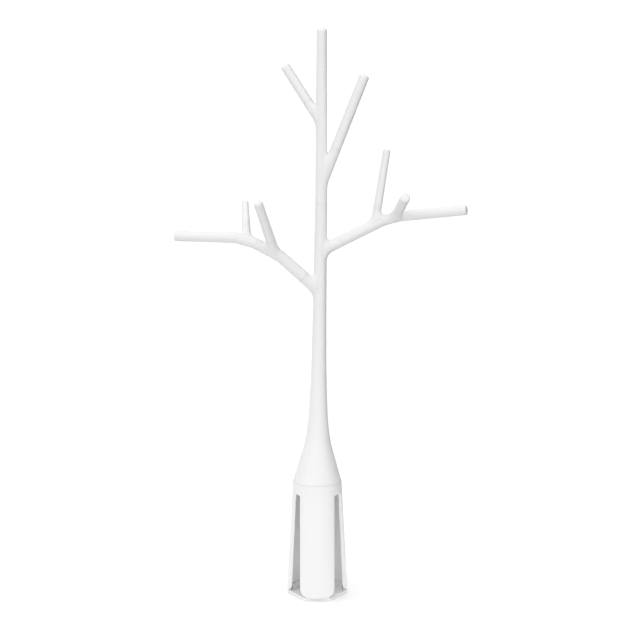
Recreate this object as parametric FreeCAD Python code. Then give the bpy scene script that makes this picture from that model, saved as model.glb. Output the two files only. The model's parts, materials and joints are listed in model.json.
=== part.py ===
"""Tree-shaped bottle drying rack: a slotted three-prong base, a flared trunk, two limbs and a crown.

Millimetres, +Z up, -Y is the front. The origin is the centre of the foot's underside.
Every limb, twig and the crown is a rod with a spigot, plugged into a boss on the piece that carries it.
"""

import FreeCAD, Part
import math
import os

V = FreeCAD.Vector
UP = V(0, 0, 1)

# ---- Base -------------------------------------------------------------------------------------
SHOULDER_Z = 63.0          # top of the base, where the trunk starts
SHOULDER_R = 13.0
FOOT_R = 16.5              # outer radius of the base at the ground
BASE_WALL = 2.5            # the wall at the feet
COLLAR_WALL = 1.4          # the wall at the shoulder, thinner by the mould's draft
SLOT_TOP_Z = 57.0          # above this the base is a closed collar
PRONG_COUNT = 3
PRONG_W = 18.5
PRONG_CORNER_R = 4.5
FRONT_ANGLE = -90.0        # the first prong faces the front
FOOT_T = 1.8
FOOT_HEX_R = 16.4          # corners of the foot plate
FOOT_HEX_HALF = 26.0       # degrees from a prong's middle to the plate's corners beside it
RIB_H = 3.0
RIB_T = 1.2
RIB_HALF = 22.0            # degrees
WELD_GAP = 0.03            # radial gap in joints that are glued or welded

# ---- Trunk ------------------------------------------------------------------------------------
FLARE = [                  # height and outer radius down the flare's profile
    (62.0, 13.3),
    (SHOULDER_Z, SHOULDER_R),
    (74.5, 9.65),
    (85.0, 6.85),
    (96.0, 5.35),
    (107.0, 4.7),
    (121.0, 4.15),
    (140.0, 3.8),
]
FLARE_FOOT = V(0, 0, SHOULDER_Z)
CROWN_SEAM = V(2.05, 0, 213.0)   # the trunk leans a little from its foot to here
CROWN_SEAM_R = 3.15
TOP = V(2.4, 0, 305.0)
TOP_R = 2.65
TRUNK_WALL = 2.3
HOLLOW_TOP_Z = 96.0
SEAM_CHAMFER = 0.2         # of the rims that meet at the shoulder
PLUG_H = 5.5
PLUG_WALL = 1.8
PLUG_GAP = 0.08            # running gap, so that the trunk lifts off
KEY_W = 2.0
KEY_D = 0.6
KEY_GAP = 0.1


def stem_axis(z, low=FLARE_FOOT, high=CROWN_SEAM):
    """The point of the trunk's axis at a height."""
    return low + (high - low) * ((z - low.z) / (high.z - low.z))


# ---- Rods: axis points and radii ----------------------------------------------------------------
LEFT_LIMB = [(stem_axis(166.4), 3.35), (V(-19.3, -3.93, 185.56), 3.1), (V(-32.7, -6, 193.0), 2.95),
             (V(-43.1, -6, 196.0), 2.85), (V(-75.4, -4, 196.6), 2.7)]
LEFT_FRONT_TIP = (V(-30.9, -20, 216.6), 2.4)
LEFT_REAR_TIP = (V(-38.4, 10, 213.4), 1.75)
RIGHT_LIMB = [(stem_axis(188.0), 3.1), (V(34.8, 4, 203.7), 2.85),
              (V(43.8, 2, 206.3), 2.8), (V(78.5, -7.8, 210.9), 2.7)]
RIGHT_TALL_TIP = (V(36.9, 8, 241.2), 1.95)
RIGHT_FRONT_TIP = (V(45.8, -20, 219.0), 2.65)
CROWN_LEFT_ROOT = (stem_axis(255.6, CROWN_SEAM, TOP), 2.6)
CROWN_LEFT_TIP = (V(-17.1, 6, 285.4), 2.5)
CROWN_RIGHT_ROOT = (stem_axis(222.8, CROWN_SEAM, TOP), 2.75)
CROWN_RIGHT_TIP = (V(24.8, -3, 281.0), 2.65)
TIP_ROUND = 1.1            # rounding of every free end

# ---- Bosses: length from the carrier's axis to the seam, and the crotch's rounding ----------------
LEFT_BOSS = (12.0, 1.5)
RIGHT_BOSS = (12.0, 2.6)
TWIG_BOSS = (9.0, 1.5)
CROWN_LEFT_BOSS = (13.5, 1.2)
CROWN_RIGHT_BOSS = (21.0, 1.0)

# ---- Spigots ------------------------------------------------------------------------------------
LIMB_SPIGOT_R = 1.7
LIMB_SPIGOT_L = 9.5
CROWN_SPIGOT_L = 10.0
TWIG_SPIGOT_R = 1.1
TWIG_SPIGOT_L = 4.0
SPIGOT_FLAT = 0.65         # the key flat's distance from the axis, as a share of the radius
SPIGOT_GAP = 0.06          # running gap of the spigots that pull out
SOCKET_SPARE = 0.5         # room beyond a spigot's end


def along(start, end, distance):
    """The point at a distance from start towards end."""
    return start + (end - start).normalize() * distance


def taper(start, end, r_start, r_end):
    """A straight round rod between two points."""
    length = (end - start).Length
    if abs(r_start - r_end) < 1e-6:
        return Part.makeCylinder(r_start, length, start, end - start)
    return Part.makeCone(r_start, r_end, length, start, end - start)


def radius_at(start, end, distance):
    """A rod's radius at a distance along one of its straight runs."""
    (p0, r0), (p1, r1) = start, end
    return r0 + (r1 - r0) * distance / (p1 - p0).Length


def fused(shapes):
    """One solid from touching solids, without leftover edges."""
    whole = shapes[0]
    for shape in shapes[1:]:
        whole = whole.fuse(shape)
    return whole.removeSplitter().Solids[0]


def lies_on(point, solid):
    """Whether a point is on a solid's skin."""
    spot = Part.Vertex(point)
    return min(face.distToShape(spot)[0] for face in solid.Faces) < 1e-3


def blended(body, rod, radius):
    """Two crossing rods as one solid, with a rounded crotch between them."""
    whole = fused([body, rod])
    crotch = []
    for edge in whole.Edges:
        middle = edge.valueAt((edge.FirstParameter + edge.LastParameter) / 2)
        if lies_on(middle, body) and lies_on(middle, rod):
            crotch.append(edge)
    return whole.makeFillet(radius, crotch).Solids[0]


def rounded_end(rod, tip, radius):
    """A rod with the rim of its free end rounded."""
    rim = [e for e in rod.Edges if e.CenterOfMass.distanceToPoint(tip) < 1e-3]
    return rod.makeFillet(radius, rim)


def chain(points):
    """A cranked rod through points with radii, rounded at its bends and at its free end."""
    runs = [taper(a[0], b[0], a[1], b[1]) for a, b in zip(points, points[1:])]
    runs[-1] = rounded_end(runs[-1], points[-1][0], TIP_ROUND)
    bends = [Part.makeSphere(r, p) for p, r in points[1:-1]]
    return fused(runs + bends)


def spigot(seam, outward, radius, length, keyed, gap=0.0):
    """A peg from a seam back along the rod, with a flat when it is keyed; gap makes the socket for it."""
    back = outward.normalize() * -1
    peg = Part.makeCylinder(radius + gap, length, seam, back)
    if keyed:
        side = back.cross(UP).cross(back).normalize()
        if back.cross(UP).Length < 0.1:
            side = V(0, -1, 0)
        block = Part.makeBox(4 * radius, 4 * radius, length)
        block.translate(V(-2 * radius, radius * SPIGOT_FLAT + gap, 0))
        turn = FreeCAD.Rotation(side.cross(back), side, back, "ZXY")
        block.Placement = FreeCAD.Placement(seam, turn).multiply(block.Placement)
        peg = peg.cut(block)
    return peg


def boss(root, tip, size, keyed):
    """The stub that carries a rod, and the socket to cut in it."""
    length = size[0]
    seam = along(root[0], tip[0], length)
    stub = taper(root[0], seam, root[1], radius_at(root, tip, length))
    outward = tip[0] - root[0]
    if keyed:
        hole = spigot(seam, outward, LIMB_SPIGOT_R, LIMB_SPIGOT_L + SOCKET_SPARE, True, SPIGOT_GAP)
    else:
        hole = spigot(seam, outward, TWIG_SPIGOT_R, TWIG_SPIGOT_L + SOCKET_SPARE, False, WELD_GAP)
    return stub, hole


def with_bosses(whole, rods, keyed):
    """A piece with a blended boss for each rod it carries, and the sockets to cut in it last."""
    holes = []
    for root, tip, size in rods:
        stub, hole = boss(root, tip, size, keyed)
        whole = blended(whole, stub, size[1])
        holes.append(hole)
    return whole, holes


def bored(whole, holes):
    """A piece with its sockets cut."""
    for hole in holes:
        whole = whole.cut(hole)
    return whole.Solids[0]


def twig(root, tip, size):
    """A straight twig from its seam to its rounded tip, with a plain spigot."""
    seam = along(root[0], tip[0], size[0])
    rod = rounded_end(taper(seam, tip[0], radius_at(root, tip, size[0]), tip[1]), tip[0], TIP_ROUND)
    return fused([rod, spigot(seam, tip[0] - root[0], TWIG_SPIGOT_R, TWIG_SPIGOT_L, False)])


def limb(points, size, twigs):
    """A cranked limb from its seam outwards, with a keyed spigot and a boss for each twig."""
    root, first = points[0], points[1]
    seam = along(root[0], first[0], size[0])
    whole = chain([(seam, radius_at(root, first, size[0]))] + points[1:])
    whole, holes = with_bosses(whole, twigs, False)
    whole = fused([whole, spigot(seam, first[0] - root[0], LIMB_SPIGOT_R, LIMB_SPIGOT_L, True)])
    return bored(whole, holes)


def flare_solid(wall, low, high):
    """The flare between two heights, set in by a wall: a spline profile turned about the leaning axis."""
    profile = [V(r - wall, 0, z - SHOULDER_Z) for z, r in FLARE if low <= z <= high]
    curve = Part.BSplineCurve()
    curve.interpolate(profile)
    ends = [V(0, 0, profile[0].z), V(0, 0, profile[-1].z)]
    edges = [curve.toShape(), Part.makeLine(profile[-1], ends[1]),
             Part.makeLine(ends[1], ends[0]), Part.makeLine(ends[0], profile[0])]
    solid = Part.Face(Part.Wire(edges)).revolve(V(0, 0, 0), UP, 360)
    solid.Placement = FreeCAD.Placement(FLARE_FOOT, FreeCAD.Rotation(UP, CROWN_SEAM - FLARE_FOOT))
    return solid


def base_radius(z):
    """Outer radius of the base at a height."""
    return FOOT_R + (SHOULDER_R - FOOT_R) * z / SHOULDER_Z


def inner_radius(z):
    """Inner radius of the base at a height."""
    return base_radius(z) - BASE_WALL + (BASE_WALL - COLLAR_WALL) * z / SHOULDER_Z


def base_shell():
    """The base's conical wall before its slots are cut."""
    height = SHOULDER_Z - FOOT_T
    outer = Part.makeCone(base_radius(FOOT_T), SHOULDER_R, height, V(0, 0, FOOT_T), UP)
    inner = Part.makeCone(inner_radius(FOOT_T), SHOULDER_R - COLLAR_WALL, height, V(0, 0, FOOT_T), UP)
    return outer.cut(inner)


def prong_base():
    """Collar with three prongs: upright strips of the conical wall with rounded lower corners."""
    shell = base_shell()
    collar = Part.makeCylinder(2 * FOOT_R, SHOULDER_Z - SLOT_TOP_Z, V(0, 0, SLOT_TOP_Z), UP)
    strips = [collar]
    for i in range(PRONG_COUNT):
        strip = Part.makeBox(PRONG_W, 2 * FOOT_R, SHOULDER_Z - FOOT_T, V(-PRONG_W / 2, -2 * FOOT_R, FOOT_T))
        corners = [e for e in strip.Edges
                   if e.BoundBox.YLength > FOOT_R and e.BoundBox.ZMax < FOOT_T + 1]
        strip = strip.makeFillet(PRONG_CORNER_R, corners)
        strip.rotate(V(0, 0, 0), UP, FRONT_ANGLE + 90 + i * 360 / PRONG_COUNT)
        strips.append(strip)
    base = shell.common(fused(strips)).removeSplitter().Solids[0]
    rim = [e for e in base.Edges if abs(e.BoundBox.ZMin - SHOULDER_Z) < 1e-3
           and abs(e.BoundBox.XMax - SHOULDER_R) < 1e-3]
    base = base.makeChamfer(SEAM_CHAMFER, rim)
    return base.cut(key(KEY_D + KEY_GAP, KEY_W + 2 * KEY_GAP, SHOULDER_Z - SLOT_TOP_Z))


def foot_plate():
    """Hexagonal plate with three ribs that stand just inside the prongs."""
    corners = []
    for i in range(PRONG_COUNT):
        middle = FRONT_ANGLE + i * 360 / PRONG_COUNT
        for turn in (-FOOT_HEX_HALF, FOOT_HEX_HALF):
            a = math.radians(middle + turn)
            corners.append(V(FOOT_HEX_R * math.cos(a), FOOT_HEX_R * math.sin(a), 0))
    plate = Part.Face(Part.makePolygon(corners + [corners[0]])).extrude(V(0, 0, FOOT_T))
    outer_r = inner_radius(FOOT_T + RIB_H) - WELD_GAP
    tube = Part.makeCylinder(outer_r, FOOT_T + RIB_H).cut(Part.makeCylinder(outer_r - RIB_T, FOOT_T + RIB_H))
    parts = [plate]
    for i in range(PRONG_COUNT):
        wedge = Part.makeCylinder(FOOT_R, RIB_H + 0.5, V(0, 0, FOOT_T - 0.5), UP, 2 * RIB_HALF)
        wedge.rotate(V(0, 0, 0), UP, FRONT_ANGLE - RIB_HALF + i * 360 / PRONG_COUNT)
        parts.append(tube.common(wedge))
    return fused(parts)


def key(depth, width, height):
    """Block at the back of the plug that stops the trunk from turning in the collar."""
    block = Part.makeBox(width, 1 + depth, height)
    block.translate(V(-width / 2, SHOULDER_R - COLLAR_WALL - 1, SHOULDER_Z - height))
    return block


def trunk():
    """Hollow flare and stem, with a plug for the base's collar, a boss for each limb and the crown's socket."""
    rim_r = SHOULDER_R - SEAM_CHAMFER
    above = Part.makeCone(rim_r, rim_r + CROWN_SEAM.z, CROWN_SEAM.z, FLARE_FOOT, UP)
    flare = flare_solid(0, 0, CROWN_SEAM.z).common(above)
    stem_z, stem_r = FLARE[-1]
    stem = taper(along(FLARE_FOOT, CROWN_SEAM, stem_z - SHOULDER_Z), CROWN_SEAM, stem_r, CROWN_SEAM_R)
    plug_r = SHOULDER_R - COLLAR_WALL - PLUG_GAP
    plug = Part.makeCylinder(plug_r, PLUG_H, V(0, 0, SHOULDER_Z - PLUG_H), UP)
    limbs = [(LEFT_LIMB[0], LEFT_LIMB[1], LEFT_BOSS), (RIGHT_LIMB[0], RIGHT_LIMB[1], RIGHT_BOSS)]
    whole, holes = with_bosses(stem, limbs, True)
    whole = fused([whole, flare, plug, key(KEY_D, KEY_W, PLUG_H)])
    mouth = Part.makeCylinder(plug_r - PLUG_WALL, PLUG_H + 1, V(0, 0, SHOULDER_Z - PLUG_H), UP)
    whole = whole.cut(mouth).cut(flare_solid(TRUNK_WALL, SHOULDER_Z, HOLLOW_TOP_Z))
    depth = CROWN_SPIGOT_L + SOCKET_SPARE
    holes.append(spigot(CROWN_SEAM, CROWN_SEAM - FLARE_FOOT, LIMB_SPIGOT_R, depth, True, SPIGOT_GAP))
    return bored(whole, holes)


def crown_stem():
    """Top of the trunk, cut square to the trunk's axis, with its keyed spigot and a boss for each branch."""
    trunk_axis = CROWN_SEAM - FLARE_FOOT
    start = along(CROWN_SEAM, TOP, -1)
    whole = rounded_end(taper(start, TOP, CROWN_SEAM_R, TOP_R), TOP, TIP_ROUND)
    whole = whole.cut(Part.makeCylinder(2 * CROWN_SEAM_R, 3, CROWN_SEAM, trunk_axis * -1))
    branches = [(CROWN_RIGHT_ROOT, CROWN_RIGHT_TIP, CROWN_RIGHT_BOSS),
                (CROWN_LEFT_ROOT, CROWN_LEFT_TIP, CROWN_LEFT_BOSS)]
    whole, holes = with_bosses(whole, branches, False)
    whole = fused([whole, spigot(CROWN_SEAM, trunk_axis, LIMB_SPIGOT_R, CROWN_SPIGOT_L, True)])
    return bored(whole, holes)


def fork(points, run, distance, radius):
    """Where a twig leaves a limb, at a distance along one of its runs, with the twig's radius there."""
    return along(points[run][0], points[run + 1][0], distance), radius


LEFT_FRONT = (fork(LEFT_LIMB, 1, 3.5, 2.7), LEFT_FRONT_TIP, TWIG_BOSS)
LEFT_REAR = (fork(LEFT_LIMB, 2, 4.6, 2.35), LEFT_REAR_TIP, TWIG_BOSS)
RIGHT_TALL = (fork(RIGHT_LIMB, 0, 32.0, 2.3), RIGHT_TALL_TIP, TWIG_BOSS)
RIGHT_FRONT = (fork(RIGHT_LIMB, 1, 6.9, 2.6), RIGHT_FRONT_TIP, TWIG_BOSS)

PIECES = {
    "foot_plate": foot_plate,
    "prong_base": prong_base,
    "trunk": trunk,
    "left_limb": lambda: limb(LEFT_LIMB, LEFT_BOSS, [LEFT_FRONT, LEFT_REAR]),
    "left_front_twig": lambda: twig(*LEFT_FRONT),
    "left_rear_twig": lambda: twig(*LEFT_REAR),
    "right_limb": lambda: limb(RIGHT_LIMB, RIGHT_BOSS, [RIGHT_TALL, RIGHT_FRONT]),
    "right_tall_twig": lambda: twig(*RIGHT_TALL),
    "right_front_twig": lambda: twig(*RIGHT_FRONT),
    "crown_stem": crown_stem,
    "crown_left_twig": lambda: twig(CROWN_LEFT_ROOT, CROWN_LEFT_TIP, CROWN_LEFT_BOSS),
    "crown_right_branch": lambda: twig(CROWN_RIGHT_ROOT, CROWN_RIGHT_TIP, CROWN_RIGHT_BOSS),
}

os.makedirs("parts", exist_ok=True)
for name, make in PIECES.items():
    shape = make()
    print(name, len(shape.Solids), "solid, valid", shape.isValid(), round(shape.Volume), "mm3")
    shape.exportStep("parts/" + name + ".step")
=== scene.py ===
# A tree-shaped rack for drying bottles, put together from twelve mouldings of white ABS.
import json
import math
import bmesh
import bpy
import numpy as np
import openvdb
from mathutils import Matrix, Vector

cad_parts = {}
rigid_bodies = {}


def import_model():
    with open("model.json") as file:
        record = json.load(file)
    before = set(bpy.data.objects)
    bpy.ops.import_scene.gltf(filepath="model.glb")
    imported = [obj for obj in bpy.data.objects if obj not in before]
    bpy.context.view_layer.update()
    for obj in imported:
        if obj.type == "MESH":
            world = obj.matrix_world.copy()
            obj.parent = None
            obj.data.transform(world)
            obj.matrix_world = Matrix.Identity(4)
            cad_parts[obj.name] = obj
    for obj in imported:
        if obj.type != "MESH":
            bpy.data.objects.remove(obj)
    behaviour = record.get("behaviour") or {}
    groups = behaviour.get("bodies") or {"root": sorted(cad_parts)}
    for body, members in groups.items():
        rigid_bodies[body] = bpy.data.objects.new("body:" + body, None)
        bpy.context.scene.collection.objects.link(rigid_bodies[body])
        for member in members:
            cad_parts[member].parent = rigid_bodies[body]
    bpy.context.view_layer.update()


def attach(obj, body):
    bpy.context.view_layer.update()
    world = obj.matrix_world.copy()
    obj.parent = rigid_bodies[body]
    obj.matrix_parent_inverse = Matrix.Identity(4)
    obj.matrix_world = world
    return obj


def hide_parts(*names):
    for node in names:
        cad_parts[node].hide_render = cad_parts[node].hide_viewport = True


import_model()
MM = 0.001

# ---- Sizes in millimetres, as the moulded pieces are designed ------------------------------------


def at(*point):
    """A point of the design."""
    return np.array(point, float)


SHOULDER_Z = 63.0
SHOULDER_R = 13.0
FOOT_R = 16.5
BASE_WALL = 2.5
COLLAR_WALL = 1.4
SLOT_TOP_Z = 57.0
PRONGS = 3
PRONG_W = 18.5
PRONG_CORNER_R = 4.5
FOOT_T = 1.8
FOOT_HEX_R = 16.4
FOOT_HEX_HALF = 26.0   # degrees that each side of the plate under a prong spans, either way from its middle
RIB_H = 3.0
RIB_T = 1.2
RIB_HALF = 22.0        # and each rib
RIB_GAP = 0.03
# Height and radius of the trunk's outside, up its leaning axis.
FLARE = np.array([(SHOULDER_Z - 4, SHOULDER_R + 1.17), (SHOULDER_Z, SHOULDER_R), (74.5, 9.65),
                  (85.0, 6.85), (96.0, 5.35), (107.0, 4.7), (121.0, 4.15), (140.0, 3.8), (213.0, 3.15)])
TRUNK_START_Z = 61.0   # the trunk's field starts below the shoulder, where it is cut
TRUNK_WALL = 2.3
HOLLOW_TOP_Z = 96.0
PLUG_R = 11.52
PLUG_H = 5.5
PLUG_WALL = 1.8
PLUG_LEAD = 0.3        # chamfer of the plug's end, outside
PLUG_MOUTH = 0.2       # and inside
FLARE_FOOT = at(0, 0, SHOULDER_Z)
CROWN_SEAM = at(2.05, 0, 213)
TOP = at(2.4, 0, 305)
CROWN_SEAM_R = 3.15
TOP_R = 2.65


def on_line(low, high, z):
    """The point of a line at a height."""
    return low + (high - low) * (z - low[2]) / (high[2] - low[2])


def along(start, end, distance):
    """The point at a distance from start towards end."""
    return start + (end - start) * distance / np.linalg.norm(end - start)


# A limb is its points, each with a radius. A twig is its root and its tip, each with a radius, and the
# length of the boss that it goes into.
LEFT_LIMB = [(on_line(FLARE_FOOT, CROWN_SEAM, 166.4), 3.35), (at(-19.3, -3.93, 185.56), 3.1),
             (at(-32.7, -6, 193), 2.95), (at(-43.1, -6, 196), 2.85), (at(-75.4, -4, 196.6), 2.7)]
RIGHT_LIMB = [(on_line(FLARE_FOOT, CROWN_SEAM, 188), 3.1), (at(34.8, 4, 203.7), 2.85),
              (at(43.8, 2, 206.3), 2.8), (at(78.5, -7.8, 210.9), 2.7)]
LIMB_BOSS = 12.0
TWIG_BOSS = 9.0
LEFT_FRONT = ((along(LEFT_LIMB[1][0], LEFT_LIMB[2][0], 3.5), 2.7), (at(-30.9, -20, 216.6), 2.4), TWIG_BOSS)
LEFT_REAR = ((along(LEFT_LIMB[2][0], LEFT_LIMB[3][0], 4.6), 2.35), (at(-38.4, 10, 213.4), 1.75), TWIG_BOSS)
RIGHT_TALL = ((along(RIGHT_LIMB[0][0], RIGHT_LIMB[1][0], 32), 2.3), (at(36.9, 8, 241.2), 1.95), TWIG_BOSS)
RIGHT_FRONT = ((along(RIGHT_LIMB[1][0], RIGHT_LIMB[2][0], 6.9), 2.6), (at(45.8, -20, 219), 2.65), TWIG_BOSS)
CROWN_LEFT = ((on_line(CROWN_SEAM, TOP, 255.6), 2.6), (at(-17.1, 6, 285.4), 2.5), 13.5)
CROWN_RIGHT = ((on_line(CROWN_SEAM, TOP, 222.8), 2.75), (at(24.8, -3, 281), 2.65), 21.0)

TIP_ROUND = 1.1        # rounding of the free ends
SEAM_EDGE = 0.1        # the small chamfer where two pieces meet
LIMB_PEG_R, LIMB_PEG_L = 1.7, 9.5
CROWN_PEG_L = 10.0
TWIG_PEG_R, TWIG_PEG_L = 1.1, 4.0
PEG_LEAD = 0.3         # chamfer of a peg's end
PEG_GAP = 0.06
PEG_FLAT = 0.65        # where a keyed peg's flat lies, as a share of its radius
HOLE_SPARE = 0.5       # how much deeper a hole is than its peg is long
HOLE_MOUTH = 0.1       # chamfer of a hole's mouth
KEY_W, KEY_D, KEY_GAP = 2.0, 0.6, 0.1
KEY_SINK = 1.0         # how far the key is sunk into the plug that carries it
KEY_DROP = 0.05        # and how far it stops below the shoulder
SEAM_CHAMFER = 0.08

CROTCH = 4.3           # how wide the smooth crotches are where two skins stand square to each other
CROTCH_ACUTE = 0.2     # how much wider they are on the acute side
SINE_EASE, SINE_REST = 0.02, 0.14   # ease the sine where it nears zero, and take off what that adds
BEND = 0.8             # how wide the blend at a limb's bends is
BEND_DEPTH = 0.4       # and the share of its full depth that it fills
EASE = 0.5             # easing of the base's edges
RIM_EASE = 0.14        # of its rim under the trunk
SLOT_EASE = 1.2        # of the slots' upper corners
NOTCH_EASE = 0.2       # of the notch that takes the trunk's key
RIB_FOOT_EASE = 0.3    # and where the ribs stand on the plate

OVERRUN = 3.0          # how far a skin runs on past a seam before it is cut
CUT_ALONG, CUT_AROUND = 1.0, 0.8    # how far past the overrun, and about the seam's rim, a cut reaches
SHOULDER_CUT_R = SHOULDER_R + 2     # the flare still widens on its way down to where it ends
WELD = 1e-4
LAST_RING = 0.4        # the last ring of a peg or a hole, as a share of its radius
LAST_TIP_RING = 0.3    # and that of a free end
PROBE = 0.02           # how far apart a field is read to find its slope
SETTLE_ROUNDS = 4
LEAST_SLOPE = 0.2
FAR = 9.0
SMOOTH_ANGLE = 40      # degrees, past which an edge is drawn sharp
UPRIGHT = 0.1          # an axis counts as upright where its level part is shorter than this
STEP = 0.3        # spacing of the lattice that a field is sampled on
BASE_STEP = 1.15 * STEP
SPOKES = 56            # points about a twig
TWIG_RINGS = 16
TIP_RINGS = 7
HOLLOW_RINGS = 14
UP = at(0, 0, 1)

# ---- Rods as fields: a field says how far each point of space is outside the piece ----------------


def unit(v):
    """A direction with length 1."""
    return v / np.linalg.norm(v)


def eased(x, stations):
    """A smooth curve through stations: cubic pieces whose slopes at the stations agree."""
    xs, ys = stations[:, 0], stations[:, 1]
    slopes = np.gradient(ys, xs)
    i = np.clip(np.searchsorted(xs, x) - 1, 0, len(xs) - 2)
    width = xs[i + 1] - xs[i]
    u = np.clip((x - xs[i]) / width, 0, 1)
    from_start = (1 + 2 * u) * (1 - u) ** 2 * ys[i] + u * (1 - u) ** 2 * width * slopes[i]
    to_end = u * u * (3 - 2 * u) * ys[i + 1] + u * u * (u - 1) * width * slopes[i + 1]
    return from_start + to_end


class Rod:
    """A straight rod in space. Its side is the distance from the axis less the radius at that share of
    the length. Its whole is the greater of the side and the distance past the ends, with the far rim
    rounded: both are moved out by the rim, joined as the legs of a right angle, and moved back. It
    also knows which way its skin faces."""

    def __init__(self, p, start, end, radius, rim=0.0):
        axis = end - start
        length = np.linalg.norm(axis)
        self.axis = axis / length
        t = (p - start) @ self.axis
        arm = p - start - t[:, None] * self.axis
        away = np.linalg.norm(arm, axis=1)
        self.facing = arm / np.maximum(away, 1e-9)[:, None]
        self.side = away - radius(t / length)
        cap = np.abs(t - length / 2) - length / 2
        rim = np.where(t > length / 2, rim, 0)
        x, y = self.side + rim, cap + rim
        self.whole = np.minimum(np.maximum(x, y), 0) + np.hypot(np.maximum(x, 0), np.maximum(y, 0)) - rim


def tapered(r_start, r_end):
    """A radius that changes evenly along a rod."""
    return lambda share: r_start + (r_end - r_start) * np.clip(share, 0, 1)


def joined(p, distance, facing, rod, root, body_axis, body_r):
    """A body and a rod that grows from it, with a smooth crotch between them: the lesser distance, less
    a quarter of the crotch's width times the square of how nearly the two agree. The width goes as
    the sine of the angle between the two skins, so it fades where they run side by side, and it is
    only on the side of the body where the rod comes out."""
    cosine = np.einsum("ij,ij->i", facing, rod.facing)
    sine = np.sqrt(np.clip(1 - cosine ** 2, 0, 1) + SINE_EASE) - SINE_REST
    width = CROTCH * (1 + CROTCH_ACUTE * cosine) * sine
    out = unit(rod.axis - (rod.axis @ body_axis) * body_axis)
    near = np.clip((p - root) @ out / body_r, 0, 1)
    width = width * near * near * (3 - 2 * near) + 1e-6
    touch = np.maximum(width - np.abs(distance - rod.side), 0) / width
    merged = np.minimum(distance, rod.whole) - touch * touch * width / 4
    closer = (distance < rod.whole)[:, None]
    return merged, np.where(closer, facing, rod.facing)


def bent(p, points):
    """A cranked rod through points with radii: the least distance to its straight runs and to a ball at
    each bend, blended a little where two runs meet."""
    distance = facing = None
    for i, ((a, ra), (b, rb)) in enumerate(zip(points, points[1:])):
        last = i == len(points) - 2
        run = Rod(p, a, b, tapered(ra, rb), TIP_ROUND if last else 0.0)
        if distance is None:
            distance, facing = run.whole, run.facing
            continue
        arm = p - a
        reach = np.linalg.norm(arm, axis=1)
        ball = reach - ra
        near_ball = (ball < distance)[:, None]
        facing = np.where(near_ball, arm / np.maximum(reach, 1e-9)[:, None], facing)
        distance = np.minimum(distance, ball)
        closer = (distance < run.whole)[:, None]
        touch = np.maximum(BEND - np.abs(distance - run.whole), 0) / BEND
        distance = np.minimum(distance, run.whole) - touch * touch * BEND / 4 * BEND_DEPTH
        facing = np.where(closer, facing, run.facing)
    return distance, facing


def settled(points, field):
    """Points moved onto the field's zero: back along its slope by its value over the slope's square, a few
    times."""
    for _ in range(SETTLE_ROUNDS):
        value = field(points)
        slope = np.stack([(field(points + PROBE * e) - field(points - PROBE * e)) / (2 * PROBE)
                          for e in np.eye(3)], 1)
        steep = np.maximum((slope ** 2).sum(1), LEAST_SLOPE)
        points = points - (value / steep)[:, None] * slope
    return points


def skin(field, low, high, step):
    """The closed skin of a field between two corners: sampled on a lattice, meshed in quads, then
    settled."""
    axes = [np.arange(a, b + step, step) for a, b in zip(low, high)]
    lattice = np.stack(np.meshgrid(*axes, indexing="ij"), -1)
    values = field(lattice.reshape(-1, 3)).reshape(lattice.shape[:3])
    band = 3 * step
    grid = openvdb.FloatGrid(background=band)
    grid.copyFromArray(np.clip(values, -band, band).astype(np.float32))
    points, quads = grid.convertToQuads(isovalue=0.0)
    return settled(points * step + np.array([a[0] for a in axes]), field), quads


# ---- Meshes --------------------------------------------------------------------------------------


def piece(name, points, faces, body):
    """A finished mesh in metres at the origin, riding on its body in place of its CAD node."""
    mesh = bpy.data.meshes.new("moulded_" + name)
    mesh.from_pydata((np.asarray(points) * MM).tolist(), [], faces)
    mesh.validate()
    mesh.update()
    obj = bpy.data.objects.new("moulded_" + name, mesh)
    bpy.context.scene.collection.objects.link(obj)
    mesh.shade_smooth()
    mesh.set_sharp_from_angle(angle=math.radians(SMOOTH_ANGLE))
    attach(obj, body)
    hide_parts(name)


def rings_to_faces(count, rings, first=0):
    """Quads between neighbouring rings of a grid, each ring closed on itself."""
    ring, spoke = np.meshgrid(np.arange(rings - 1), np.arange(count), indexing="ij")
    a = ring * count + spoke
    b = ring * count + (spoke + 1) % count
    return (first + np.stack([a, b, b + count, a + count], -1)).reshape(-1, 4)


def frame_of(axis):
    """Two directions square to an axis, counted anticlockwise about it; the first is level."""
    level = np.cross(UP, axis)
    level = unit(level) if np.linalg.norm(level) > UPRIGHT else unit(np.cross(at(0, 1, 0), axis))
    return level, np.cross(axis, level)


def end_rings(spokes, seam, axis, stations, flat_way):
    """Rings about a seam: seam + axis x out + spoke x radius. Each station gives how far out the ring
    is, its radius, and whether it is keyed, which presses the part past the flat back onto it."""
    rings = []
    for out, radius, keyed in stations:
        ring = spokes * radius
        if keyed:
            over = np.maximum(ring @ flat_way - radius * PEG_FLAT, 0)
            ring = ring - over[:, None] * flat_way
        rings.append(seam + axis * out + ring)
    return rings


def key_way(axis):
    """Which way a peg's key flat faces: up, square to the axis, or to the front on an upright one."""
    way = np.cross(np.cross(-axis, UP), -axis)
    return unit(way) if np.linalg.norm(np.cross(axis, UP)) > UPRIGHT else at(0, -1, 0)


def read(items, name, width, kind):
    """One attribute of a mesh as an array."""
    flat = np.empty(len(items) * width, kind)
    items.foreach_get(name, flat)
    return flat.reshape(-1, width) if width > 1 else flat


def close_to(points, seam, axis, radius, stations):
    """Which points lie in a short cylinder about the place where a skin is cut."""
    arms = points - seam - axis * stations[0][0]
    height = arms @ axis
    away = np.linalg.norm(arms - height[:, None] * axis, axis=1)
    return (np.abs(height) < OVERRUN + CUT_ALONG) & (away < radius + CUT_AROUND)


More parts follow.
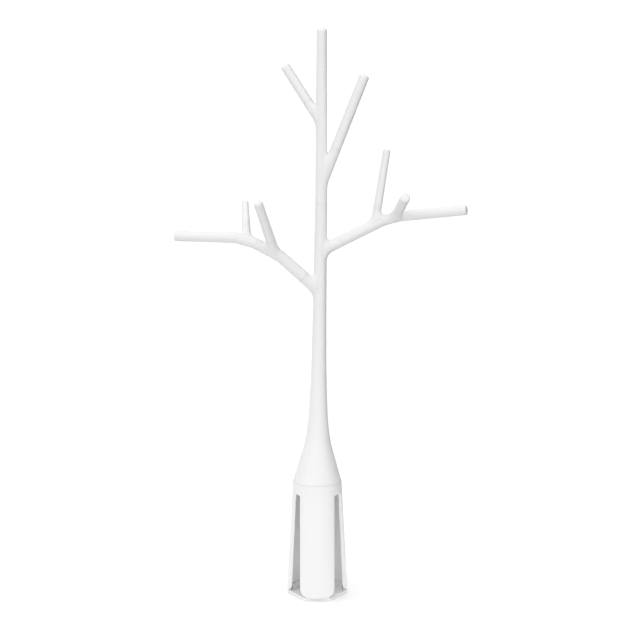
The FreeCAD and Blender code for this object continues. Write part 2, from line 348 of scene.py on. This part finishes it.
def cut_square(points, faces, ends):
    """A mesh with all that lies past each seam cut away, as its points, faces and open border."""
    mesh = bpy.data.meshes.new("cut")
    mesh.from_pydata(points, [], faces)
    bm = bmesh.new()
    bm.from_mesh(mesh)
    for end in ends:
        bm.to_mesh(mesh)
        bm.verts.ensure_lookup_table()
        chosen = np.flatnonzero(close_to(read(mesh.vertices, "co", 3, np.float32), *end))
        verts = [bm.verts[i] for i in chosen]
        inside = set(verts)
        edges = [e for e in {e for v in verts for e in v.link_edges} if inside.issuperset(e.verts)]
        part = [f for f in {f for v in verts for f in v.link_faces} if inside.issuperset(f.verts)]
        bmesh.ops.bisect_plane(bm, geom=verts + edges + part, plane_co=end[0] + end[1] * end[3][0][0],
                               plane_no=end[1], clear_outer=True)
    bmesh.ops.dissolve_degenerate(bm, dist=WELD, edges=bm.edges)
    bm.to_mesh(mesh)
    bm.free()
    points = read(mesh.vertices, "co", 3, np.float32).astype(float)
    corners = read(mesh.loops, "vertex_index", 1, np.int32)
    starts = read(mesh.polygons, "loop_start", 1, np.int32)
    faces = [face.tolist() for face in np.split(corners, starts[1:])]
    used = np.bincount(read(mesh.loops, "edge_index", 1, np.int32))
    border = np.unique(read(mesh.edges, "vertices", 2, np.int32)[used == 1])
    bpy.data.meshes.remove(mesh)
    return points, faces, border


def ended(points, faces, ends):
    """A skin cut square at each seam and closed there with rings. An end is its seam, the way out of
    the piece, the radius about the seam that is cut, and its stations. Each border point sends a
    spoke straight out from the axis, and every ring has a point on every spoke."""
    points, faces, border = cut_square(points, faces, ends)
    for end in ends:
        seam, axis, radius, stations = end
        rim = border[close_to(points[border], *end)]
        across, over = frame_of(axis)
        arms = points[rim] - seam - axis * stations[0][0]
        rim = rim[np.argsort(np.arctan2(arms @ over, arms @ across))]
        spokes = points[rim] - seam - axis * stations[0][0]
        spokes = spokes / np.linalg.norm(spokes, axis=1)[:, None]
        rings = end_rings(spokes, seam, axis, stations[1:], key_way(axis))
        count, first = len(rim), len(points)
        points = np.concatenate([points] + rings)
        around = np.arange(count)
        start = np.stack([rim, np.roll(rim, -1), first + np.roll(around, -1), first + around], 1)
        last = first + (len(rings) - 1) * count + around
        between = rings_to_faces(count, len(rings), first)
        faces = faces + start.tolist() + between.tolist() + [last.tolist()]
    return points, faces


def socket(r_rim, r, depth, keyed):
    """Stations of a boss's end: chamfered rim, face, hole and its floor."""
    r = r + PEG_GAP
    return [(-SEAM_EDGE,), (0, r_rim - SEAM_EDGE, False), (0, r + HOLE_MOUTH, keyed),
            (-HOLE_MOUTH, r, keyed), (-depth, r, keyed), (-depth, LAST_RING * r, keyed)]


def peg(r_rim, r, length, keyed):
    """Stations of a rod's root: chamfered rim, face, and a peg with a chamfered end."""
    return [(-SEAM_EDGE,), (0, r_rim - SEAM_EDGE, False), (0, r, keyed), (length - PEG_LEAD, r, keyed),
            (length, r - PEG_LEAD, keyed), (length, LAST_RING * r, keyed)]


def seam_of(root, tip, length):
    """The seam of a rod: its place, the way out, and the rod's radius there."""
    share = length / np.linalg.norm(tip[0] - root[0])
    return along(root[0], tip[0], length), unit(tip[0] - root[0]), root[1] + (tip[1] - root[1]) * share


def stub(p, root, tip, length):
    """The field of a boss: a tapered rod, run on past its seam so that it can be cut there."""
    seam, way, radius = seam_of(root, tip, length)
    return Rod(p, root[0], seam + way * OVERRUN, tapered(root[1], radius))


def socket_end(root, tip, length, peg_r, peg_l, keyed):
    """The end of a boss, with the hole for the peg of the rod that goes into it."""
    seam, way, radius = seam_of(root, tip, length)
    return seam, way, radius, socket(radius, peg_r, peg_l + HOLE_SPARE, keyed)


# ---- Fields of the pieces ------------------------------------------------------------------------


def trunk_field(p):
    """Flare and stem, turned about the leaning axis: the distance from the axis less an eased radius by
    height. A boss is joined on for each limb."""
    axis = unit(CROWN_SEAM - FLARE_FOOT)
    t = (p - FLARE_FOOT) @ axis
    arm = p - FLARE_FOOT - t[:, None] * axis
    away = np.linalg.norm(arm, axis=1)
    height = SHOULDER_Z + t
    distance = away - eased(height, FLARE)
    middle, half = (TRUNK_START_Z + CROWN_SEAM[2]) / 2, (CROWN_SEAM[2] - TRUNK_START_Z) / 2
    distance = np.maximum(distance, np.abs(height - middle) - half - OVERRUN)
    facing = arm / np.maximum(away, 1e-9)[:, None]
    for limb in (LEFT_LIMB, RIGHT_LIMB):
        rod = stub(p, limb[0], limb[1], LIMB_BOSS)
        distance, facing = joined(p, distance, facing, rod, limb[0][0], axis, limb[0][1])
    return distance


def limb_field(limb, twigs):
    """A cranked limb, from just inside its seam to its tip, with a boss joined on for each twig."""
    def field(p):
        seam, way, radius = seam_of(limb[0], limb[1], LIMB_BOSS)
        distance, facing = bent(p, [(seam - way * OVERRUN, radius)] + limb[1:])
        for (root, run), tip, length in twigs:
            rod = stub(p, root, tip, length)
            body_axis = unit(limb[run + 1][0] - limb[run][0])
            distance, facing = joined(p, distance, facing, rod, root[0], body_axis, root[1])
        return distance
    return field


def crown_field(p):
    """The trunk's top, a tapered rod with a rounded tip, with a boss joined on for each branch."""
    way = unit(TOP - CROWN_SEAM)
    rod = Rod(p, CROWN_SEAM - way * OVERRUN, TOP, tapered(CROWN_SEAM_R, TOP_R), TIP_ROUND)
    distance, facing = rod.whole, rod.facing
    for root, tip, length in (CROWN_RIGHT, CROWN_LEFT):
        distance, facing = joined(p, distance, facing, stub(p, root, tip, length), root[0], way, root[1])
    return distance


def base_radius(z):
    """Outer radius of the base's conical wall at a height."""
    return FOOT_R + (SHOULDER_R - FOOT_R) * z / SHOULDER_Z


def inner_radius(z):
    """Inner radius of the base's wall, which thins towards the shoulder."""
    return base_radius(z) - BASE_WALL + (BASE_WALL - COLLAR_WALL) * z / SHOULDER_Z


def smaller(a, b, ease):
    """The nearer of two skins, with the corner between them eased."""
    touch = np.maximum(ease - np.abs(a - b), 0) / ease
    return np.minimum(a, b) - touch * touch * ease / 4


def larger(a, b, ease):
    """What two shapes have in common, with the edge between them eased."""
    return -smaller(-a, -b, ease)


def prong_turns():
    """The three ways that the prongs stand: one at the front, the others a third of a turn apart."""
    return [math.radians(-90 + i * 360 / PRONGS) for i in range(PRONGS)]


def out_and_chord(x, y, turn):
    """How far points lie out towards a prong, and to either side of its middle."""
    return x * math.cos(turn) + y * math.sin(turn), np.abs(y * math.cos(turn) - x * math.sin(turn))


def base_field(p):
    """The conical wall kept where it is collar or prong: r between the two cones, and either z above the
    slots' top, or |chord| < half a prong's width with rounded lower corners. A notch for the
    trunk's key is taken out of the collar's back."""
    x, y, z = p.T
    r = np.hypot(x, y)
    lean = math.cos(math.atan((FOOT_R - SHOULDER_R) / SHOULDER_Z))
    wall = larger((r - base_radius(z)) * lean, (inner_radius(z) - r) * lean, EASE)
    kept = SLOT_TOP_Z - z
    for turn in prong_turns():
        out, chord = out_and_chord(x, y, turn)
        a = chord - PRONG_W / 2 + PRONG_CORNER_R
        b = FOOT_T + PRONG_CORNER_R - z
        corner = np.hypot(np.maximum(a, 0), np.maximum(b, 0)) + np.minimum(np.maximum(a, b), 0)
        prong = corner - PRONG_CORNER_R
        kept = smaller(kept, np.maximum(prong, -out), SLOT_EASE)
    body = larger(larger(wall, kept, EASE), z - SHOULDER_Z, RIM_EASE)
    deep = y - SHOULDER_R + COLLAR_WALL - KEY_D - KEY_GAP
    notch = np.maximum(np.maximum(np.abs(x) - KEY_W / 2 - KEY_GAP, deep), -y)
    return larger(body, -notch, NOTCH_EASE)


def foot_field(p):
    """A plate under three arc ribs. The plate is |z - half its thickness| less that half, cut by six
    upright planes. A rib is |r - its middle| less half its thickness, below the ribs' height and
    within an angle of its prong, and it starts inside the plate."""
    x, y, z = p.T
    corners = [turn + s * math.radians(FOOT_HEX_HALF) for turn in prong_turns() for s in (-1, 1)]
    plate = np.abs(z - FOOT_T / 2) - FOOT_T / 2
    for a, b in zip(corners, corners[1:] + corners[:1]):
        middle = math.atan2(math.sin(a) + math.sin(b), math.cos(a) + math.cos(b))
        side = x * math.cos(middle) + y * math.sin(middle) - FOOT_HEX_R * math.cos(a - middle)
        plate = larger(plate, side, EASE)
    r = np.hypot(x, y)
    outer = inner_radius(FOOT_T + RIB_H) - RIB_GAP
    ring = np.maximum(np.abs(r - outer + RIB_T / 2) - RIB_T / 2, z - FOOT_T - RIB_H)
    half = math.radians(RIB_HALF)
    ribs = np.full(len(p), FAR)
    for turn in prong_turns():
        out, chord = out_and_chord(x, y, turn)
        ribs = np.minimum(ribs, chord * math.cos(half) - out * math.sin(half))
    ribs = larger(np.maximum(ring, FOOT_T / 2 - z), ribs, EASE)
    return smaller(plate, ribs, RIB_FOOT_EASE)


# ---- The pieces ----------------------------------------------------------------------------------


def rounded_tip(length, radius):
    """Stations of a free end: a quarter turn of the rim, at the length less R(1 - sin a) and the radius
    less R(1 - cos a), then the small flat end."""
    turns = np.linspace(0, math.pi / 2, TIP_RINGS)
    arc = [(length - TIP_ROUND * (1 - math.sin(a)), radius - TIP_ROUND * (1 - math.cos(a)), False)
           for a in turns]
    return arc + [(length, LAST_TIP_RING * (radius - TIP_ROUND), False)]


def twig(name, root, tip, length, body):
    """A twig: circles along its axis, cos a across and sin a over times the radius there, from the peg's
    end through the seam to the rounded tip."""
    seam, way, radius = seam_of(root, tip, length)
    run = np.linalg.norm(tip[0] - seam)
    peg_end = [(-s[0], s[1], s[2]) for s in reversed(peg(radius, TWIG_PEG_R, TWIG_PEG_L, False)[1:])]
    side = [(s, radius + (tip[1] - radius) * s / run, False)
            for s in np.linspace(SEAM_EDGE, run - TIP_ROUND, TWIG_RINGS)]
    across, over = frame_of(way)
    around = np.arange(SPOKES)
    a = around * 2 * math.pi / SPOKES
    spokes = np.cos(a)[:, None] * across + np.sin(a)[:, None] * over
    rings = end_rings(spokes, seam, way, peg_end + side + rounded_tip(run, tip[1])[1:], key_way(way))
    faces = rings_to_faces(SPOKES, len(rings))
    caps = [around[::-1].tolist(), ((len(rings) - 1) * SPOKES + around).tolist()]
    piece(name, np.concatenate(rings), faces.tolist() + caps, body)


def limb_piece(name, limb, twigs, low, high, body):
    """A limb between two corners of space: a keyed peg at its root, and a hole in each twig's boss."""
    seam, way, radius = seam_of(limb[0], limb[1], LIMB_BOSS)
    ends = [(seam, -way, radius, peg(radius, LIMB_PEG_R, LIMB_PEG_L, True))]
    ends += [socket_end(root, tip, length, TWIG_PEG_R, TWIG_PEG_L, False)
             for (root, run), tip, length in twigs]
    points, faces = skin(limb_field(limb, twigs), low, high, STEP)
    piece(name, *ended(points, faces, ends), body)


def trunk_foot():
    """Stations of the trunk's lower end: chamfered rim, plug with both edges chamfered, bore, and the
    hollow that follows the flare at an even wall."""
    bore = PLUG_R - PLUG_WALL
    plug = [(-SEAM_CHAMFER,), (0, SHOULDER_R - SEAM_CHAMFER, False), (0, PLUG_R, False),
            (PLUG_H - PLUG_LEAD, PLUG_R, False), (PLUG_H, PLUG_R - PLUG_LEAD, False),
            (PLUG_H, bore + PLUG_MOUTH, False), (PLUG_H - PLUG_MOUTH, bore, False), (-1, bore, False)]
    return plug + [(SHOULDER_Z - z, float(eased(np.array([z]), FLARE)[0]) - TRUNK_WALL, False)
                   for z in np.linspace(SHOULDER_Z + 1, HOLLOW_TOP_Z, HOLLOW_RINGS)]


def key_block(first):
    """Corners and faces of the block on the back of the plug that keys it to the collar."""
    y = SHOULDER_R - COLLAR_WALL
    low = at(-KEY_W / 2, y - KEY_SINK, SHOULDER_Z - PLUG_H)
    high = at(KEY_W / 2, y + KEY_D, SHOULDER_Z - KEY_DROP)
    corners = [at(x, y, z) for z in (low[2], high[2]) for y in (low[1], high[1]) for x in (low[0], high[0])]
    sides = [[0, 2, 3, 1], [4, 5, 7, 6], [0, 1, 5, 4], [2, 6, 7, 3], [0, 4, 6, 2], [1, 3, 7, 5]]
    return corners, [[first + i for i in side] for side in sides]


# Each skin is worked out between two corners of space that hold it.
points, faces = skin(base_field, at(-18, -18, 0), at(18, 18, 65), BASE_STEP)
piece("prong_base", points, faces.tolist(), "base")
points, faces = skin(foot_field, at(-18, -18, -1), at(18, 18, 6), STEP)
piece("foot_plate", points, faces.tolist(), "base")

trunk_way = unit(CROWN_SEAM - FLARE_FOOT)
points, faces = skin(trunk_field, at(-17, -15, 59.5), at(18, 15, 218), STEP)
points, faces = ended(points, faces, [
    (FLARE_FOOT, at(0, 0, -1), SHOULDER_CUT_R, trunk_foot()),
    (CROWN_SEAM, trunk_way, CROWN_SEAM_R,
     socket(CROWN_SEAM_R, LIMB_PEG_R, CROWN_PEG_L + HOLE_SPARE, True)),
    socket_end(LEFT_LIMB[0], LEFT_LIMB[1], LIMB_BOSS, LIMB_PEG_R, LIMB_PEG_L, True),
    socket_end(RIGHT_LIMB[0], RIGHT_LIMB[1], LIMB_BOSS, LIMB_PEG_R, LIMB_PEG_L, True)])
key_corners, key_sides = key_block(len(points))
piece("trunk", np.concatenate([points, key_corners]), faces + key_sides, "trunk")

# Each twig of a limb: its root and which run of the limb it grows from, its tip, and its boss.
left_twigs = [((LEFT_FRONT[0], 1), *LEFT_FRONT[1:]), ((LEFT_REAR[0], 2), *LEFT_REAR[1:])]
right_twigs = [((RIGHT_TALL[0], 0), *RIGHT_TALL[1:]), ((RIGHT_FRONT[0], 1), *RIGHT_FRONT[1:])]
limb_piece("left_limb", LEFT_LIMB, left_twigs, at(-79, -17, 164), at(-2, 10, 207), "left_limb")
limb_piece("right_limb", RIGHT_LIMB, right_twigs, at(6, -15, 182), at(83, 12, 218), "right_limb")

points, faces = skin(crown_field, at(-17, -8, 206), at(17, 10, 307), STEP)
points, faces = ended(points, faces, [
    (CROWN_SEAM, -trunk_way, CROWN_SEAM_R, peg(CROWN_SEAM_R, LIMB_PEG_R, CROWN_PEG_L, True)),
    socket_end(*CROWN_RIGHT, TWIG_PEG_R, TWIG_PEG_L, False),
    socket_end(*CROWN_LEFT, TWIG_PEG_R, TWIG_PEG_L, False)])
piece("crown_stem", points, faces, "crown")

twig("left_front_twig", *LEFT_FRONT, "left_limb")
twig("left_rear_twig", *LEFT_REAR, "left_limb")
twig("right_tall_twig", *RIGHT_TALL, "right_limb")
twig("right_front_twig", *RIGHT_FRONT, "right_limb")
twig("crown_left_twig", *CROWN_LEFT, "crown")
twig("crown_right_branch", *CROWN_RIGHT, "crown")

# ---- Material ------------------------------------------------------------------------------------
ABS_IOR = 1.52
ABS_TONES = "#E8E9E9", "#ECECEB"
ABS_ROUGHNESS = 0.36, 0.44
ABS_DEPTH = 0.0015     # metres that light goes under the skin
FLOW_SCALE = 45.0      # per metre: tone and gloss drift over about 22 mm, as the melt flowed
# Per metre: a 0.4 mm grain, coarser than a satin mould's own, so that a close view shows it.
GRAIN_SCALE = 2600.0
GRAIN_DEPTH = 0.00003


def linear(code):
    """A colour written as sRGB hex, as linear light."""
    parts = [int(code[i:i + 2], 16) / 255 for i in (1, 3, 5)]
    return [c / 12.92 if c <= 0.04045 else ((c + 0.055) / 1.055) ** 2.4 for c in parts] + [1.0]


def add(tree, kind, inputs=None, **values):
    """A node with its values, and its inputs set or linked."""
    node = tree.nodes.new(kind)
    for name, value in values.items():
        setattr(node, name, value)
    for name, value in (inputs or {}).items():
        if isinstance(value, bpy.types.NodeSocket):
            tree.links.new(value, node.inputs[name])
        else:
            node.inputs[name].default_value = value
    return node


def white_plastic():
    """Injection-moulded white ABS with a satin, finely textured skin: broad, soft highlights, and a
    little light that passes under the skin at thin edges."""
    material = bpy.data.materials.new("white_abs_plastic")
    material.use_nodes = True
    tree = material.node_tree
    shader = tree.nodes["Principled BSDF"]
    shader.inputs["IOR"].default_value = ABS_IOR
    shader.inputs["Specular IOR Level"].default_value = 0.5
    shader.inputs["Subsurface Weight"].default_value = 0.25
    shader.inputs["Subsurface Radius"].default_value = (1.0, 1.0, 1.0)
    shader.inputs["Subsurface Scale"].default_value = ABS_DEPTH
    where = add(tree, "ShaderNodeTexCoord").outputs["Object"]
    flow = add(tree, "ShaderNodeTexNoise", {"Vector": where, "Scale": FLOW_SCALE, "Detail": 3.0})
    low, high = linear(ABS_TONES[0]), linear(ABS_TONES[1])
    tone = add(tree, "ShaderNodeMix", {0: flow.outputs["Fac"], 6: low, 7: high}, data_type="RGBA")
    tree.links.new(tone.outputs[2], shader.inputs["Base Color"])
    sheen = add(tree, "ShaderNodeMapRange", {"Value": flow.outputs["Fac"], "To Min": ABS_ROUGHNESS[0],
                                             "To Max": ABS_ROUGHNESS[1]})
    tree.links.new(sheen.outputs[0], shader.inputs["Roughness"])
    grain = add(tree, "ShaderNodeTexNoise", {"Vector": where, "Scale": GRAIN_SCALE, "Detail": 2.0})
    bump = add(tree, "ShaderNodeBump", {"Height": grain.outputs["Fac"], "Strength": 0.12,
                                        "Distance": GRAIN_DEPTH})
    tree.links.new(bump.outputs[0], shader.inputs["Normal"])
    return material


# Every mesh of the rack is this one plastic.
abs_plastic = white_plastic()
for obj in bpy.data.objects:
    if obj.type == "MESH":
        obj.data.materials.clear()
        obj.data.materials.append(abs_plastic)

# ---- Studio: a round sheet of white paper under an even white sky, darker on some sides -----------
FLOOR_R = 0.14
FLOOR_SIDES = 96
FLOOR_DROP = 0.00005   # metres that the paper lies below the foot, so that the two never flicker
FLOOR_GLOW = 0.13

turns = np.arange(FLOOR_SIDES) * 2 * math.pi / FLOOR_SIDES
rim = [(FLOOR_R * math.cos(a), FLOOR_R * math.sin(a), -FLOOR_DROP) for a in turns]
floor_mesh = bpy.data.meshes.new("floor")
floor_mesh.from_pydata(rim, [], [list(range(FLOOR_SIDES))])
floor = bpy.data.objects.new("floor", floor_mesh)
bpy.context.scene.collection.objects.link(floor)
# Matt paper, lit a little from within so that it reads as pure white.
paper = bpy.data.materials.new("white_paper")
paper.use_nodes = True
paper_shader = paper.node_tree.nodes["Principled BSDF"]
paper_shader.inputs["Base Color"].default_value = linear("#F4F4F4")
paper_shader.inputs["Roughness"].default_value = 1.0
paper_shader.inputs["Specular IOR Level"].default_value = 0.0
paper_shader.inputs["Emission Color"].default_value = (1, 1, 1, 1)
paper_shader.inputs["Emission Strength"].default_value = FLOOR_GLOW
floor.data.materials.append(paper)

world = bpy.data.worlds.new("studio")
world.use_nodes = True
bpy.context.scene.world = world
sky = world.node_tree
back = sky.nodes["Background"]
towards = add(sky, "ShaderNodeTexCoord").outputs["Generated"]
back.inputs["Color"].default_value = (1, 1, 1, 1)


def wing(direction, start, end, strength):
    """How much a side of the studio adds or takes away, by how far a direction turns to it: nothing
    where the cosine is below start, all of the strength where it is above end."""
    turned = add(sky, "ShaderNodeVectorMath", {0: towards, 1: tuple(unit(at(*direction)))},
                 operation="DOT_PRODUCT")
    return add(sky, "ShaderNodeMapRange", {"Value": turned.outputs["Value"], "From Min": start,
                                           "From Max": end, "To Min": 0.0, "To Max": strength},
               interpolation_type="SMOOTHSTEP")


STUDIO_LIGHT = 1.08
wings = [wing((0.9, 0.44, 0.0), 0.57, 0.78, -1.05),     # black card to the right and behind
         wing((-0.93, 0.37, 0.0), 0.5, 0.8, -0.25),     # grey one to the left and behind
         wing((0.0, -0.3, 1.0), 0.3, 0.9, 0.2),         # a lamp overhead
         wing((0.0, 0.0, -1.0), 0.33, 0.55, -0.55)]     # the dark under the table
light = add(sky, "ShaderNodeValue")
light.outputs[0].default_value = STUDIO_LIGHT
total = light.outputs[0]
for side in wings:
    total = add(sky, "ShaderNodeMath", {0: total, 1: side.outputs[0]}, operation="ADD").outputs[0]
sky.links.new(total, back.inputs["Strength"])


def softbox(name, place, aim, size, watts):
    """A square area light that faces a point."""
    data = bpy.data.lights.new(name, "AREA")
    data.size = size
    data.energy = watts
    light = bpy.data.objects.new(name, data)
    light.location = place
    light.rotation_euler = (Vector(aim) - Vector(place)).to_track_quat("-Z", "Y").to_euler()
    light.visible_camera = False
    bpy.context.scene.collection.objects.link(light)


softbox("key", place=(-0.9, -1.3, 0.9), aim=(0, 0, 0.16), size=0.7, watts=0.35)

# A long lens, 1.2 m in front and a little above the tree's top, that looks 10 degrees down.
camera_data = bpy.data.cameras.new("camera")
camera_data.lens = 128.7
camera_data.sensor_width = 36
camera_data.shift_y = 0.0072
camera_data.clip_start = 0.01
camera = bpy.data.objects.new("camera", camera_data)
camera.location = (0.00145, -1.2, 0.360)
camera.rotation_euler = (math.radians(80), 0, 0)
bpy.context.scene.collection.objects.link(camera)
bpy.context.scene.camera = camera
bpy.context.scene.view_settings.view_transform = "Standard"
